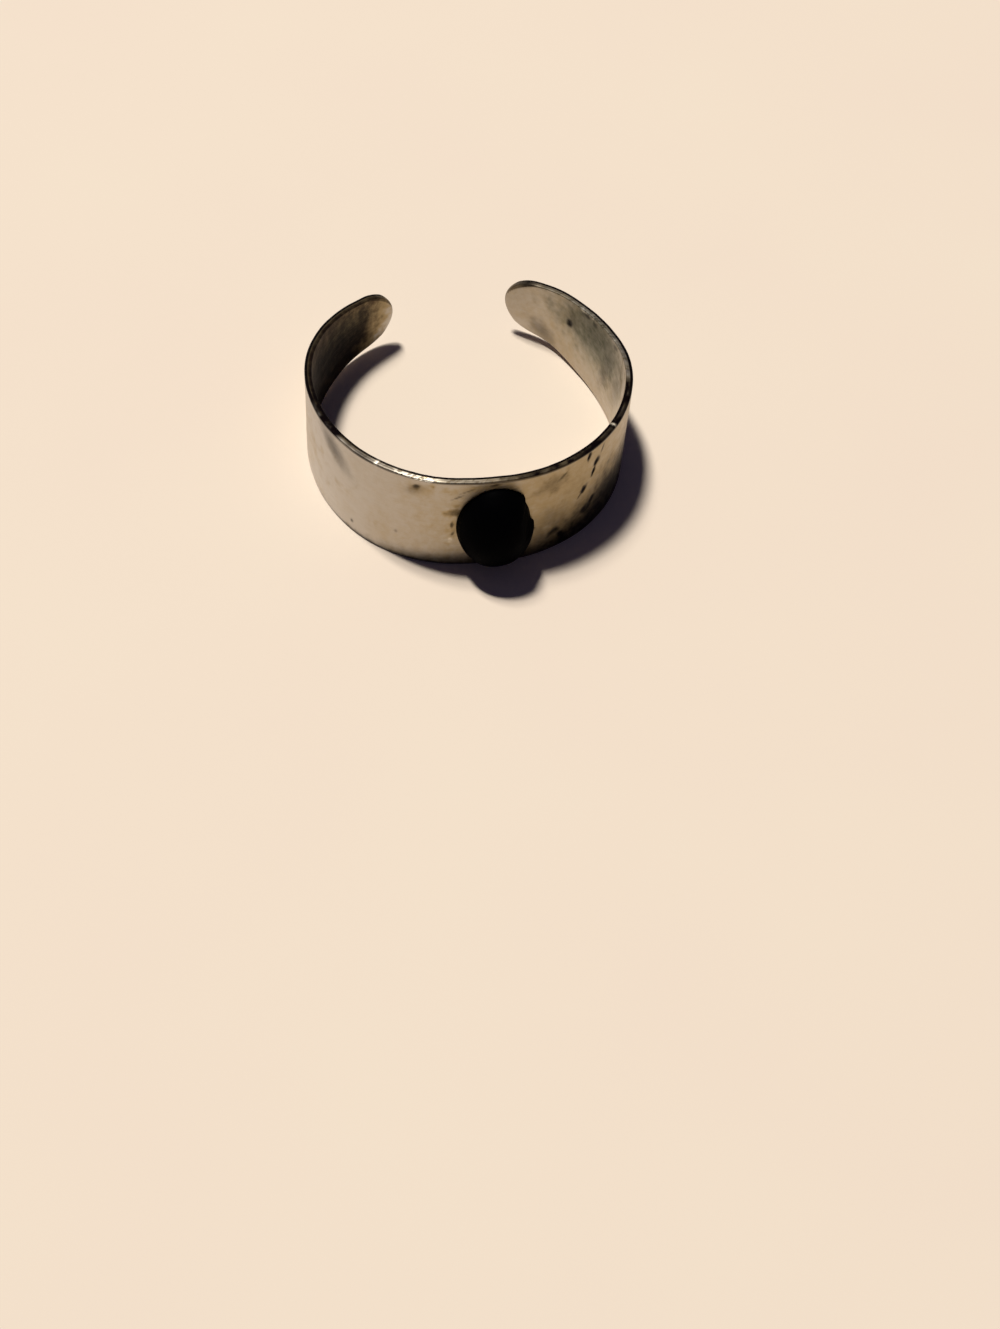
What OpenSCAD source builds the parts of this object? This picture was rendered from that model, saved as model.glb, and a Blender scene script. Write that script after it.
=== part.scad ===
// Open toe ring: a strip of silver sheet bent by hand into a horseshoe, lying on its side,
// with one black oval domed stone on the outside of its front.
// The front, with the stone, faces -Y. The two arms run back to +Y and leave a gap there.
// Sizes are in millimetres. The origin is under the middle of the whole ring, on its flat foot.

/* [Band] */
// Thickness of the sheet
sheet_t = 0.38; // [0.30:0.02:0.60]
// Height of the band at the front, its widest place
band_h = 6.4; // [6:0.1:7]
// Radius of the top edge, seen from the side
top_edge_r = 54; // [48:1:60]
// Depth of the foot that lies flat, from the front
flat_foot = 9; // [8:0.5:10]
// Radius of the foot behind the flat stretch, seen from the side
foot_r = 40; // [34:1:60]
// Radius of the flattened front under the stone
front_r = 15; // [13:0.5:18]

/* [Ends] */
// Length of the oval end of each arm, along the arm
end_l = 2.2; // [2.1:0.1:3]
// Radius at the very tip, as a part of half the arm's height
tip_roundness = 0.78; // [0.6:0.02:0.9]

/* [Stone] */
// Width of the oval stone
stone_w = 4; // [3.6:0.05:4.2]
// Length of the stone, which runs up the band
stone_l = 5.4; // [5:0.1:5.6]
// Height of the stone above the band
stone_h = 1.9; // [1.6:0.05:2]
// Radius of the stone's outline at its upper and lower end
stone_end_r = 1.65; // [1.3:0.05:1.7]
// Height of the stone's middle above the foot
stone_z = 3.15; // [3:0.05:3.4]
// Place of the stone's middle, to the right of the front's middle
stone_x = 0; // [-0.4:0.05:0.4]
// Film of glue between the stone and the band
glue_gap = 0.03; // [0.02:0.01:0.08]

/* [Hidden] */
$fn = 180;

// Each arm is a chain of bends that starts at the middle of the front.
// A row is one bend: the radius of its outer face in millimetres and its turn in degrees.
RADIUS = 0;
TURN = 1;
left_bends = [[front_r, 7.5], [7.3, 50.5], [9.1, 50.5], [8.7, 50]];
right_bends = [[front_r, 2.5], [8, 73.5], [8.8, 31], [11.2, 39]];

// Both arms are worked out as running to the right, and the left one is then mirrored.
// The heading of a place is the direction of the arm there, 0 at the front and 180 straight back.
function heading(bends, row) = row == 0 ? 0 : heading(bends, row - 1) + bends[row - 1][TURN];
function outward(angle) = [sin(angle), -cos(angle)];
function bend_start(bends, row) =
    row == 0 ? [0, 0] : bend_centre(bends, row - 1) + bends[row - 1][RADIUS] * outward(heading(bends, row));
function bend_centre(bends, row) =
    bend_start(bends, row) - bends[row][RADIUS] * outward(heading(bends, row));
function tip_point(bends) = bend_start(bends, len(bends));
function arm_reach(bends) =
    max([for (row = [0 : len(bends) - 1])
        if (heading(bends, row) <= 90 && heading(bends, row + 1) >= 90)
            bend_centre(bends, row)[0] + bends[row][RADIUS]]);

// Heights of the two edges at a depth behind the front
function top_z(depth) = band_h - top_edge_r + sqrt(pow(top_edge_r, 2) - pow(depth, 2));
function foot_z(depth) = foot_r - sqrt(pow(foot_r, 2) - pow(max(depth - flat_foot, 0), 2));

// Place of the ring's middle, measured from the front's middle
ring_depth = max(tip_point(left_bends)[1], tip_point(right_bends)[1]);
middle_x = (arm_reach(right_bends) - arm_reach(left_bends)) / 2;
middle_y = (ring_depth - stone_h) / 2;
// Lengths and angle by which cutting shapes run past what they cut, and the step along a bend
spare = 1;
spare_turn = 5;
bend_step = 4;

// Points along one face of an arm, from the front to a little past its end.
// depth_in is 0 for the outer face and the sheet's thickness for the inner one.
function arm_face(bends, depth_in) =
    [for (row = [0 : len(bends) - 1])
        let (turn = bends[row][TURN] + (row == len(bends) - 1 ? spare_turn : 0),
             steps = ceil(turn / bend_step),
             centre = bend_centre(bends, row),
             r = bends[row][RADIUS] - depth_in)
            for (i = [1 : steps]) centre + r * outward(heading(bends, row) + turn * i / steps)];
function mirrored(points) = [for (p = points) [-p[0], p[1]]];
function reversed(points) = [for (i = [len(points) - 1 : -1 : 0]) points[i]];

// Plan of the bent strip, seen from above, a little longer than the finished one
module plan() {
    polygon(concat(
        reversed(mirrored(arm_face(left_bends, 0))),
        [[0, 0]],
        arm_face(right_bends, 0),
        reversed(arm_face(right_bends, sheet_t)),
        [[0, sheet_t]],
        mirrored(arm_face(left_bends, sheet_t))));
}

// Outline of the strip seen from the side: depth to the right, height up
module side_outline() {
    intersection() {
        union() {
            translate([-spare, 0]) square([flat_foot + spare, band_h + spare]);
            intersection() {
                translate([flat_foot, -spare]) square([ring_depth + spare - flat_foot, band_h + 2 * spare]);
                translate([flat_foot, foot_r]) circle(foot_r);
            }
        }
        translate([0, band_h - top_edge_r]) circle(top_edge_r);
    }
}

// Oval from arcs that meet smoothly: half its length, half its height, and the radius at its ends
module oval(half_l, half_h, end_r) {
    side_r = (pow(half_l - end_r, 2) + pow(half_h, 2) - pow(end_r, 2)) / (2 * (half_h - end_r));
    meet_x = (half_l - end_r) * side_r / (side_r - end_r);
    for (way = [-1, 1]) translate([way * (half_l - end_r), 0]) circle(end_r);
    intersection() {
        translate([0, half_h - side_r]) circle(side_r);
        translate([0, side_r - half_h]) circle(side_r);
        translate([-meet_x, -half_h]) square([2 * meet_x, 2 * half_h]);
    }
}

// What is cut away round the oval end of one arm
module end_trim(bends) {
    last = len(bends) - 1;
    r = bends[last][RADIUS];
    turn = end_l / r * 180 / PI;
    tip_heading = heading(bends, len(bends));
    root_heading = tip_heading - turn;
    centre = bend_centre(bends, last);
    root = centre + r * outward(root_heading);
    inner_depth = (centre + (r - sheet_t) * outward(root_heading))[1];
    half_h = (top_z(inner_depth) - foot_z(inner_depth)) / 2;
    half_l = 2 * r * sin(turn / 2);
    translate([root[0], root[1], foot_z(inner_depth) + half_h])
        rotate([90, 0, tip_heading - turn / 2])
            linear_extrude(2 * spare, center = true)
                difference() {
                    translate([0, -half_h - spare]) square([half_l + spare, 2 * (half_h + spare)]);
                    oval(half_l, half_h, tip_roundness * half_h);
                }
}

// The strip of sheet: its plan and its side outline in one, with the ends rounded
module band() {
    width = arm_reach(left_bends) + arm_reach(right_bends) + 2 * spare;
    color("silver")
        translate([-middle_x, -middle_y, 0])
            difference() {
                intersection() {
                    translate([0, 0, -spare]) linear_extrude(band_h + 2 * spare) plan();
                    translate([-arm_reach(left_bends) - spare, 0, 0])
                        rotate([90, 0, 90]) linear_extrude(width) side_outline();
                }
                end_trim(right_bends);
                mirror([1, 0, 0]) end_trim(left_bends);
            }
}

// Half of the stone's outline, to the right of its long axis
module half_stone_outline() {
    intersection() {
        rotate(90) oval(stone_l / 2, stone_w / 2, stone_end_r);
        translate([0, -stone_l / 2]) square([stone_w / 2, stone_l]);
    }
}

// The stone: an oval dome whose long axis runs up the band, near the band's face.
// Its back is hollowed to follow the band.
module stone() {
    color("black")
        translate([-middle_x, -middle_y, 0])
            difference() {
                translate([stone_x, stone_w / 2 - stone_h, stone_z]) rotate_extrude() half_stone_outline();
                translate([0, front_r, 0]) cylinder(h = band_h + spare, r = front_r + glue_gap);
            }
}

band();
stone();
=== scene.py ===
"""Open toe ring of tarnished silver sheet with a black oval domed stone, lying on its side.

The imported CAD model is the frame. A finer band and stone, worn as the real ones are, stand for
its two nodes. Lengths in this file are in millimetres until a mesh is made, which is in metres.
"""

import logging
import math
from abc import ABC, abstractmethod
from collections.abc import Iterator
from contextlib import contextmanager
from dataclasses import dataclass, field
from enum import Enum
from functools import partial

import bmesh
import bpy
import numpy as np
from mathutils import Matrix, Vector, noise

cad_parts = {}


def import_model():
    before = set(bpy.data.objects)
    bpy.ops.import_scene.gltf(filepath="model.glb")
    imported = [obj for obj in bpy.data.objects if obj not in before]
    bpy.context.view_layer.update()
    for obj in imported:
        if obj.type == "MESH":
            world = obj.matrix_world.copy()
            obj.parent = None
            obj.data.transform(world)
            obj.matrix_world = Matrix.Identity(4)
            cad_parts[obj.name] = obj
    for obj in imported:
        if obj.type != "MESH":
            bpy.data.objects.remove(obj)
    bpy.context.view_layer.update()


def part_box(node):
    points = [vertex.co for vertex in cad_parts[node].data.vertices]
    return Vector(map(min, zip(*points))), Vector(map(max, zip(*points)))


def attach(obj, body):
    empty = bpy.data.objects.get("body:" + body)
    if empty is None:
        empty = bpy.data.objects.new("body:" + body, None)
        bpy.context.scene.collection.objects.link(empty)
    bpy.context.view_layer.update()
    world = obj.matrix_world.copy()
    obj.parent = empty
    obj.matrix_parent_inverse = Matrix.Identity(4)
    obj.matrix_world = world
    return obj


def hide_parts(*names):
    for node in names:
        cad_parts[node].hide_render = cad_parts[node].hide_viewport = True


MM = 0.001
LOG = logging.getLogger("toe_ring")
# Distances from the band's edge where the look of the rim starts and where it is full
RIM_WIDTH = (0.1, 0.04)
# Settings that many shader nodes share
SMOOTH = {"interpolation_type": "SMOOTHSTEP"}
TIMES = {"operation": "MULTIPLY"}

Colour = tuple[float, float, float, float]
# Where a value starts and ends, and what these two become, 0 and 1 where nothing is said
Ramp = tuple[float, ...]


class Face(Enum):
    """The two faces of the silver sheet."""

    OUTER = "outer"
    INNER = "inner"


class Patina(Enum):
    """What a place of stain or painted shade shows. The value is its channel in the patina
    attribute.
    """

    BROWN = 0
    GREEN = 1
    BLACK = 2
    BRIGHT = 3


@dataclass(frozen=True)
class Bend:
    """One bend of an arm.

    Args:
        radius: Radius of the outer face.
        turn: Angle of the bend in degrees.
    """

    radius: float
    turn: float


@dataclass(frozen=True)
class StainAndShade:
    """One patch of patina, or of painted shade, on the flat sheet.

    Args:
        kind: What the patch shows.
        face: The face that it is on.
        along: Place along the band, from the middle of the front, positive to the right.
        up: Height above the foot.
        half_long: Half its length.
        half_wide: Half its width.
        slant: Angle of its length above the band's own, in degrees.
        strength: How much it covers, from 0 to 1.
        soft: Width of its fading edge, as a part of its size.
        torn: How ragged its outline is, from 0 to 1.
    """

    kind: Patina
    face: Face
    along: float
    up: float
    half_long: float
    half_wide: float
    slant: float = 0.0
    strength: float = 0.6
    soft: float = 0.6
    torn: float = 0.5


@dataclass(frozen=True)
class Mark:
    """One dent, pit, scratch or ridge pressed into a face of the sheet.

    Args:
        face: The face that it is on.
        along: Place along the band, from the middle of the front, positive to the right.
        up: Height above the foot.
        half_long: Half its length.
        half_wide: Half its width.
        deep: Depth, or height where negative.
        slant: Angle of its length above the band's own, in degrees.
    """

    face: Face
    along: float
    up: float
    half_long: float
    half_wide: float
    deep: float
    slant: float = 0.0


@dataclass(frozen=True)
class RimPlace:
    """How the top rim looks at one place. Between two places it changes evenly.

    Args:
        along: Place along the band, from the middle of the front, positive to the right.
        dark: How black it is, from 0 to 1, real blackening and painted dark reflection together.
        filed: How strong its file marks are, from 0 to 1.
        inner: How black the painted shade line along its inner corner is, from 0 to 1.
        outer: How black the painted shade line along its outer corner is, from 0 to 1.
    """

    along: float
    dark: float
    filed: float
    inner: float
    outer: float


@dataclass(frozen=True)
class Bow:
    """One stretch of the band that strays from its bends.

    Args:
        along: Place of its middle, from the middle of the front, positive to the right.
        half_long: Half its length.
        inwards: How far it goes inwards at its middle, or outwards where negative.
    """

    along: float
    half_long: float
    inwards: float


@dataclass(frozen=True)
class Lumps:
    """Smooth seeded noise over two coordinates.

    Args:
        size: Distance over which the noise changes.
        seed: Which noise, as a third coordinate.
        high: How far it strays from nothing.
    """

    size: float
    seed: float
    high: float = 1.0

    def over(self, x: np.ndarray, y: np.ndarray) -> np.ndarray:
        """Value of the noise for each pair of coordinates."""
        pairs = zip(x / self.size, y / self.size)
        return self.high * np.array([noise.noise(Vector((a, b, self.seed))) for a, b in pairs])


def linear(code: str, alpha: float = 1.0) -> Colour:
    """Turns a colour from sRGB hex to linear.

    Args:
        code: Six hex digits.
        alpha: The fourth value.

    Returns:
        Red, green, blue and alpha, each from 0 to 1.
    """
    parts = [int(code[i : i + 2], 16) / 255 for i in (0, 2, 4)]
    red, green, blue = [c / 12.92 if c <= 0.04045 else ((c + 0.055) / 1.055) ** 2.4 for c in parts]
    return red, green, blue, alpha


def add_node(
    tree: bpy.types.NodeTree, kind: str, inputs: tuple | dict = (), **settings: object
) -> bpy.types.Node:
    """Adds a shader node with its settings and links.

    Args:
        tree: The node tree that gets the node.
        kind: The node's type, without the word ShaderNode.
        inputs: What its inputs get, in their order, or by name or number. Each gets a value, or
            a link from a socket or from a node's own output.
        settings: The node's own properties.

    Returns:
        The new node.
    """
    node = tree.nodes.new("ShaderNode" + kind)
    for name, value in settings.items():
        setattr(node, name, value)
    named = inputs.items() if isinstance(inputs, dict) else enumerate(inputs)
    for name, value in named:
        if isinstance(value, bpy.types.Node):
            value = next(socket for socket in value.outputs if socket.enabled)
        if isinstance(value, bpy.types.NodeSocket):
            tree.links.new(value, node.inputs[name])
        else:
            node.inputs[name].default_value = value
    return node


def emptied(owner: bpy.types.Material | bpy.types.World) -> bpy.types.NodeTree:
    """Gives a material or a world a node tree with nothing in it.

    Args:
        owner: The material or world.

    Returns:
        Its node tree.
    """
    owner.use_nodes = True
    owner.node_tree.nodes.clear()
    return owner.node_tree


@contextmanager
def editing(piece: bpy.types.Object) -> Iterator[None]:
    """Puts one piece alone in edit mode, with nothing of it selected.

    Args:
        piece: The mesh object to edit.
    """
    only(piece)
    bpy.ops.object.mode_set(mode="EDIT")
    bpy.ops.mesh.select_mode(type="VERT")
    bpy.ops.mesh.select_all(action="DESELECT")
    yield
    bpy.ops.object.mode_set(mode="OBJECT")


def only(piece: bpy.types.Object) -> None:
    """Selects one object, makes it active, and deselects everything else.

    Args:
        piece: The object.
    """
    bpy.ops.object.select_all(action="DESELECT")
    piece.select_set(True)
    bpy.context.view_layer.objects.active = piece


def pick(piece: bpy.types.Object, numbers: range) -> None:
    """Selects some vertices of a piece in edit mode, and no others.

    Args:
        piece: The mesh object in edit mode.
        numbers: The numbers of the vertices.
    """
    mesh = bmesh.from_edit_mesh(piece.data)
    for vertex in mesh.verts:
        vertex.select_set(vertex.index in numbers)
    mesh.select_flush_mode()
    bmesh.update_edit_mesh(piece.data, loop_triangles=False, destructive=False)


def finish_with(piece: bpy.types.Object, kind: str, **settings: object) -> None:
    """Adds a modifier to a piece and applies it.

    Args:
        piece: The mesh object.
        kind: The modifier's type.
        settings: The modifier's properties.
    """
    only(piece)
    modifier = piece.modifiers.new(kind.lower(), kind)
    for name, value in settings.items():
        setattr(modifier, name, value)
    bpy.ops.object.modifier_apply(modifier=modifier.name)


def points_of(piece: bpy.types.Object) -> np.ndarray:
    """Reads the places of a mesh's vertices.

    Args:
        piece: The mesh object.

    Returns:
        The places in millimetres, one row each.
    """
    places = np.empty(len(piece.data.vertices) * 3, np.float32)
    piece.data.vertices.foreach_get("co", places)
    return places.reshape(-1, 3).astype(float) / MM


def set_points(piece: bpy.types.Object, places: np.ndarray) -> None:
    """Moves a mesh's vertices to places given in millimetres."""
    piece.data.vertices.foreach_set("co", (places * MM).astype(np.float32).ravel())
    piece.data.update()


def write_attribute(piece: bpy.types.Object, name: str, values: np.ndarray) -> None:
    """Stores values on a mesh's vertices for its material to read.

    Args:
        piece: The mesh object.
        name: The attribute's name.
        values: A row for each vertex, of three columns for a vector or four for a colour.
    """
    kind, part = {3: ("FLOAT_VECTOR", "vector"), 4: ("FLOAT_COLOR", "color")}[values.shape[1]]
    attribute = piece.data.attributes.new(name, kind, "POINT")
    attribute.data.foreach_set(part, values.astype(np.float32).ravel())


def fade(value: np.ndarray, start: float, end: float) -> np.ndarray:
    """Smooth step of each value from 0 at start to 1 at end, which may be the lower one."""
    t = np.clip((value - start) / (end - start), 0.0, 1.0)
    return t * t * (3.0 - 2.0 * t)


def rounded(offset: float) -> float:
    """How much a line of a square shrinks where the square is made round, 0 to 1 off its middle."""
    return math.sqrt(1 - offset**2 / 2)


def reach(spot: StainAndShade | Mark, along: np.ndarray, up: np.ndarray) -> np.ndarray:
    """Works out how far points on the flat sheet are from a spot's middle.

    Args:
        spot: The spot.
        along: Places along the band, from the middle of the front.
        up: Heights above the foot.

    Returns:
        The distances, each 1 at the spot's edge.
    """
    slant = math.radians(spot.slant)
    across, rise = along - spot.along, up - spot.up
    length = (across * math.cos(slant) + rise * math.sin(slant)) / spot.half_long
    width = (rise * math.cos(slant) - across * math.sin(slant)) / spot.half_wide
    return np.hypot(length, width)


OUTER, INNER = Face.OUTER, Face.INNER
BROWN, GREEN, BLACK, BRIGHT = Patina.BROWN, Patina.GREEN, Patina.BLACK, Patina.BRIGHT

# Patches of patina and of painted shade, in the order of the class's columns
STAINS_AND_SHADE = (
    # Outside, left of the stone: clean at the far left, yellower towards the stone
    StainAndShade(BROWN, OUTER, 0.5, 3.0, 7.5, 6.0, 0, 0.34, 0.9, 0.1),
    StainAndShade(BLACK, OUTER, -9.3, 5.2, 1.2, 0.5, -38, 0.58, 1.0, 0.2),
    StainAndShade(BLACK, OUTER, -4.06, 5.76, 0.17, 0.12, 20, 0.75, 0.7, 0.4),
    StainAndShade(BROWN, OUTER, -4.0, 5.6, 0.55, 0.34, 0, 0.2, 0.9, 0.3),
    StainAndShade(BLACK, OUTER, -4.15, 5.55, 0.45, 0.26, 30, 0.3, 0.9, 0.3),
    StainAndShade(BLACK, OUTER, -7.85, 0.8, 0.1, 0.12, 0, 0.7, 0.7, 0.2),
    StainAndShade(BLACK, OUTER, -5.1, 1.9, 0.08, 0.1, 0, 0.4, 0.7, 0.2),
    StainAndShade(BROWN, OUTER, -2.2, 4.1, 0.36, 0.36, 30, 0.4, 0.6, 1.0),
    StainAndShade(BLACK, OUTER, -2.1, 4.15, 0.26, 0.28, 30, 0.5, 0.6, 1.0),
    StainAndShade(BLACK, OUTER, -2.2, 3.2, 0.08, 0.26, 0, 0.7, 0.5, 0.6),
    StainAndShade(BLACK, OUTER, -2.15, 2.5, 0.07, 0.16, -20, 0.6, 0.5, 0.6),
    StainAndShade(BROWN, OUTER, -2.1, 2.9, 0.22, 0.9, 0, 0.25, 0.7, 1.0),
    # Painted highlight: small light spots low on the left of the stone
    StainAndShade(BRIGHT, OUTER, -2.25, 2.0, 0.12, 0.16, 0, 0.7, 0.7, 0.6),
    StainAndShade(BLACK, OUTER, -0.13, 6.12, 0.28, 0.07, 8, 0.75, 0.6, 0.6),
    StainAndShade(BROWN, OUTER, -0.9, 5.95, 1.3, 0.22, 6, 0.2, 0.8, 0.8),
    StainAndShade(BLACK, OUTER, -1.95, 5.3, 0.34, 0.045, 30, 0.6, 0.7, 0.4),
    StainAndShade(BLACK, OUTER, -1.5, 5.75, 0.4, 0.04, 28, 0.5, 0.7, 0.4),
    # Outside, painted shade: the dark line along the foot, thicker towards the stone, where the
    # wall reflects the ring's shadow on the floor
    StainAndShade(BLACK, OUTER, -6.0, -0.02, 4.0, 0.2, 0, 0.8, 0.7, 0.2),
    StainAndShade(BLACK, OUTER, -1.8, -0.1, 4.2, 0.75, 0, 0.75, 0.7, 0.2),
    # Outside, right of the stone: mottled tan, black and pitted; lower down, painted shade, the
    # ring's shadow on the floor reflected in the wall
    StainAndShade(BROWN, OUTER, 6.5, 3.6, 6.0, 4.0, 0, 0.34, 0.9, 0.2),
    StainAndShade(BROWN, OUTER, 3.0, 5.2, 0.7, 0.45, 20, 0.2, 0.9, 0.8),
    StainAndShade(BROWN, OUTER, 4.1, 4.6, 0.5, 0.7, 30, 0.15, 0.9, 0.8),
    StainAndShade(BLACK, OUTER, 2.8, 5.3, 0.7, 0.4, 20, 0.27, 0.9, 0.8),
    StainAndShade(BLACK, OUTER, 3.0, 2.7, 0.7, 0.6, 0, 0.28, 0.9, 0.6),
    StainAndShade(BLACK, OUTER, 5.17, 5.9, 0.14, 0.34, -12, 1.0, 0.35, 0.5),
    StainAndShade(BLACK, OUTER, 5.76, 5.05, 0.18, 0.32, -20, 1.0, 0.35, 0.5),
    StainAndShade(BLACK, OUTER, 5.64, 4.5, 0.13, 0.36, -16, 1.0, 0.35, 0.5),
    StainAndShade(BLACK, OUTER, 5.02, 3.5, 0.19, 0.32, -24, 1.0, 0.35, 0.5),
    StainAndShade(BLACK, OUTER, 4.75, 3.2, 0.07, 0.2, -34, 0.75, 0.5, 0.5),
    StainAndShade(BLACK, OUTER, 5.7, 2.05, 0.18, 0.42, -22, 1.0, 0.4, 0.5),
    StainAndShade(BLACK, OUTER, 5.2, 1.75, 0.2, 0.32, -20, 0.9, 0.6, 0.6),
    StainAndShade(BLACK, OUTER, 3.5, 5.55, 0.07, 0.3, -50, 0.6, 0.7, 0.3),
    StainAndShade(BLACK, OUTER, 6.23, 5.8, 0.08, 0.24, -20, 0.75, 0.6, 0.3),
    StainAndShade(BLACK, OUTER, 3.3, 1.35, 0.34, 0.2, 15, 0.9, 0.7, 1.0),
    StainAndShade(BLACK, OUTER, 3.7, 0.95, 0.3, 0.22, -15, 0.9, 0.7, 1.0),
    # Painted shade: the lower wall black where it reflects the ring's shadow on the floor
    StainAndShade(BLACK, OUTER, 6.0, 0.0, 5.4, 2.0, 8, 0.97, 0.55, 0.2),
    StainAndShade(BLACK, OUTER, 7.0, 1.4, 1.7, 2.0, 0, 0.8, 0.7, 0.3),
    StainAndShade(BLACK, OUTER, 10.5, 1.3, 3.2, 2.4, 0, 0.85, 0.7, 0.3),
    # Inside of the left arm: olive brown; the black below and towards the front is painted shade,
    # where the face reflects the arm's shadow on the floor
    StainAndShade(BROWN, INNER, -15.0, 3.0, 8.0, 6.0, 0, 1.0, 0.25, 0.1),
    StainAndShade(BROWN, INNER, -22.4, 3.2, 1.0, 1.6, 20, 0.7, 0.8, 0.3),
    StainAndShade(GREEN, INNER, -20.0, 3.0, 2.2, 1.0, 0, 0.4, 0.9, 0.2),
    StainAndShade(BLACK, INNER, -17.5, 3.2, 5.0, 3.0, 0, 0.42, 0.6, 0.1),
    StainAndShade(BLACK, INNER, -15.5, 1.3, 6.2, 3.4, 8, 0.97, 0.4, 0.1),
    StainAndShade(BLACK, INNER, -20.4, 1.7, 1.9, 1.2, 25, 0.85, 0.6, 0.2),
    StainAndShade(BLACK, INNER, -21.8, 2.7, 0.5, 0.9, 10, 0.6, 0.8, 0.3),
    StainAndShade(BLACK, INNER, -11.0, 3.0, 3.8, 5.0, 0, 0.97, 0.4, 0.1),
    # Inside of the right arm: a beige tip, a dark greenish bloom under the top edge, streaks
    # and small flecks
    StainAndShade(BROWN, INNER, 17.5, 3.0, 7.5, 6.0, 0, 0.28, 0.6, 0.2),
    StainAndShade(BLACK, INNER, 22.6, 3.2, 1.2, 1.6, 0, 0.12, 0.9, 0.2),
    StainAndShade(GREEN, INNER, 16.3, 3.9, 3.2, 1.7, -8, 0.8, 0.8, 0.3),
    StainAndShade(BLACK, INNER, 16.2, 4.3, 3.0, 1.3, -8, 0.48, 0.9, 0.3),
    StainAndShade(BLACK, INNER, 17.3, 2.9, 0.4, 0.9, 30, 0.1, 0.9, 0.5),
    StainAndShade(BLACK, INNER, 15.0, 2.7, 0.5, 1.3, 20, 0.42, 0.9, 0.5),
    StainAndShade(BLACK, INNER, 13.2, 2.9, 0.7, 1.4, 20, 0.3, 0.9, 0.5),
    StainAndShade(BLACK, INNER, 18.8, 3.05, 0.2, 0.26, 10, 1.0, 0.5, 0.4),
    StainAndShade(BLACK, INNER, 18.5, 3.4, 0.5, 0.5, 0, 0.25, 0.9, 0.5),
    StainAndShade(BLACK, INNER, 20.8, 1.1, 0.7, 0.5, 30, 0.45, 0.9, 0.4),
    StainAndShade(BLACK, INNER, 17.4, 4.75, 0.3, 0.14, -10, 0.7, 0.6, 0.6),
    StainAndShade(BLACK, INNER, 16.6, 4.8, 0.22, 0.12, -10, 0.6, 0.6, 0.6),
    StainAndShade(BLACK, INNER, 14.1, 5.3, 0.3, 0.12, -10, 0.6, 0.6, 0.6),
    StainAndShade(BRIGHT, INNER, 17.8, 4.9, 0.3, 0.1, -10, 0.6, 0.6, 0.6),
    StainAndShade(BRIGHT, INNER, 17.0, 5.0, 0.22, 0.08, -10, 0.6, 0.6, 0.6),
    StainAndShade(BRIGHT, INNER, 14.4, 5.5, 0.25, 0.09, -10, 0.6, 0.6, 0.6),
    StainAndShade(BRIGHT, INNER, 11.5, 1.0, 1.6, 1.6, 0, 0.4, 0.9, 0.5),
    # Inside of the front
    StainAndShade(BROWN, INNER, 0.0, 3.0, 9.0, 6.0, 0, 0.6, 0.6, 0.4),
    StainAndShade(BLACK, INNER, 3.0, 1.0, 4.0, 1.5, 0, 0.35, 0.9, 0.6),
    # Outside of both arms towards the ends
    StainAndShade(BROWN, OUTER, -17.5, 2.4, 4.5, 3.0, 5, 0.4, 0.9, 0.6),
    StainAndShade(BROWN, OUTER, 18.0, 2.8, 4.5, 3.0, -5, 0.45, 0.9, 0.6),
    StainAndShade(BLACK, OUTER, -20.6, 3.9, 0.9, 0.4, 20, 0.35, 0.9, 0.8),
    StainAndShade(BLACK, OUTER, 15.4, 1.8, 1.3, 0.5, -15, 0.35, 0.9, 0.8),
)

# Pits, dents, scratches and crusts, in the order of the columns of Mark
MARKS = (
    Mark(OUTER, 5.17, 5.9, 0.12, 0.28, 0.06, -12),
    Mark(OUTER, 5.76, 5.05, 0.14, 0.26, 0.06, -20),
    Mark(OUTER, 5.64, 4.5, 0.11, 0.3, 0.06, -16),
    Mark(OUTER, 5.02, 3.5, 0.15, 0.26, 0.06, -24),
    Mark(OUTER, 5.7, 2.05, 0.14, 0.34, 0.05, -22),
    Mark(OUTER, 3.3, 1.35, 0.3, 0.2, 0.03, 15),
    Mark(OUTER, 3.7, 0.95, 0.26, 0.2, 0.03, -15),
    Mark(OUTER, -4.06, 5.76, 0.3, 0.2, 0.05, 20),
    Mark(OUTER, -9.2, 5.0, 1.5, 0.4, 0.035, -38),
    Mark(OUTER, -2.15, 4.15, 0.34, 0.34, -0.035, 30),
    Mark(OUTER, -2.2, 2.8, 0.16, 0.7, -0.02),
    Mark(INNER, 18.8, 3.05, 0.2, 0.26, 0.04),
    Mark(OUTER, -16.2, 3.2, 0.7, 0.14, 0.03, 35),
    Mark(OUTER, 19.2, 3.6, 0.5, 0.12, 0.03, -40),
)
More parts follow.
